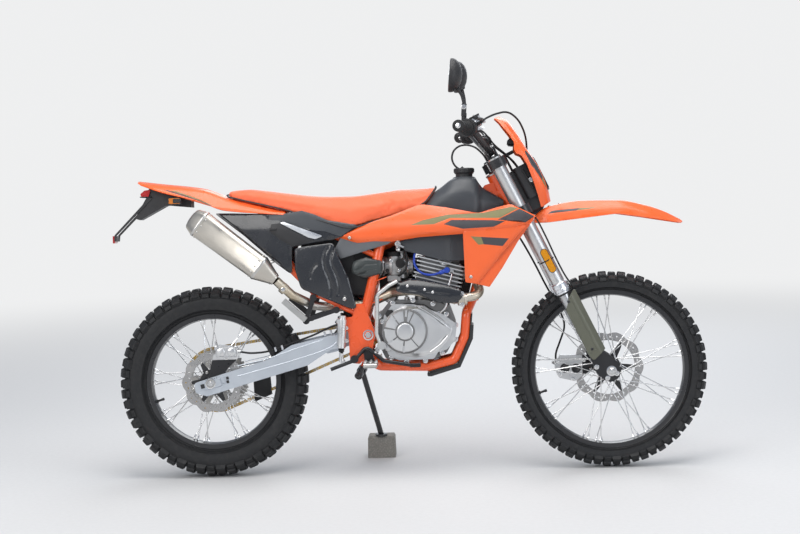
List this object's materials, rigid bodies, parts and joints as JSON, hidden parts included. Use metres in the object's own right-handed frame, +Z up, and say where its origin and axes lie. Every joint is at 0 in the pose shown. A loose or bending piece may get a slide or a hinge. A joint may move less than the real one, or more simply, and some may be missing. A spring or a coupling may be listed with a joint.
{
  "type": "dirt bike",
  "caption": "Off-road motorcycle with knobbed tyres, wire wheels, plastic body panels, a padded seat and a long fork, leaning on its side stand over a stone block.",
  "frame": {"origin": "middle of the bounding box, on the ground below the leaning bike", "axes": "+X forward, +Y to the rider's left (the side it leans to), +Z up"},
  "size_m": [2.104, 0.8178, 1.4584],
  "materials": {
    "orange_paint": "gloss",
    "silver_metal": "satin",
    "steel": "satin",
    "engine_metal": "cast",
    "seat_cover": "grained",
    "black_plastic": "satin",
    "orange_plastic": "semi-gloss",
    "chain_gold": "oiled",
    "black_paint": "satin",
    "rubber": "matt",
    "stone": "rough stone",
    "olive_plastic": "satin",
    "lamp_glass": "clear",
    "tyre": "matt",
    "chrome_steel": "polished",
    "grey_plastic": "satin",
    "lamp_red": "clear"
  },
  "bodies": {
    "chassis": {"frame": "orange_paint", "swingarm": "silver_metal", "rear_axle": "steel", "engine_case": "engine_metal", "engine_covers": "silver_metal", "silencer": "steel", "seat": "seat_cover", "fuel_cap": "black_plastic", "rear_fender": "orange_plastic", "tail_unit": "black_plastic", "skid_plate": "black_plastic", "footpegs": "steel", "foot_levers": "silver_metal", "rear_brake": "silver_metal", "chain_guide": "black_plastic", "chain": "chain_gold", "heat_shield": "black_paint", "rear_brake_hose": "rubber", "stand_block": "stone", "subframe": "orange_paint", "shock": "black_paint", "cylinder": "engine_metal", "carburettor": "engine_metal", "intake_box": "black_plastic", "exhaust_pipe": "steel", "fuel_tank": "grey_plastic", "engine_lines": "rubber", "shrouds": "orange_plastic", "black_side_panels": "black_plastic", "grey_side_panels": "grey_plastic", "rear_lamps": "lamp_red"},
    "steering": {"triple_clamps": "silver_metal", "fork_tubes": "black_paint", "fork_legs": "silver_metal", "fork_guards": "olive_plastic", "front_axle": "steel", "handlebar": "steel", "grips": "rubber", "controls": "black_plastic", "mirrors": "black_plastic", "headlight_mask": "orange_plastic", "headlight": "black_plastic", "headlight_lens": "lamp_glass", "front_fender": "orange_plastic", "front_caliper": "silver_metal", "front_brake_hose": "rubber", "control_cables": "rubber"},
    "front_wheel": {"front_tyre": "tyre", "front_rim": "black_paint", "front_hub": "black_paint", "front_spokes": "chrome_steel", "front_disc": "steel"},
    "rear_wheel": {"rear_tyre": "tyre", "rear_rim": "black_paint", "rear_hub": "black_paint", "rear_spokes": "chrome_steel", "rear_disc": "steel", "rear_sprocket": "black_paint"},
    "side_stand": {"side_stand": "steel"}
  },
  "joints": [
    {"name": "steering_head", "type": "hinge", "parent": "chassis", "child": "steering", "pos_m": [0.3595, -0.01712, 0.95609], "axis": [-0.4305, 0.063, 0.9004], "range_deg": [-40, 40]},
    {"name": "front_wheel_spin", "type": "hinge", "parent": "steering", "child": "front_wheel", "pos_m": [0.70599, -0.0597, 0.34729], "axis": [0, 0.9976, -0.0698], "continuous": true},
    {"name": "rear_wheel_spin", "type": "hinge", "parent": "chassis", "child": "rear_wheel", "pos_m": [-0.70401, -0.06026, 0.33921], "axis": [0, 0.9976, -0.0698], "continuous": true},
    {"name": "side_stand_fold", "type": "hinge", "parent": "chassis", "child": "side_stand", "pos_m": [-0.18201, 0.06452, 0.34602], "axis": [0.2998, 0.8512, 0.4308], "range_deg": [0, 96]}
  ]
}
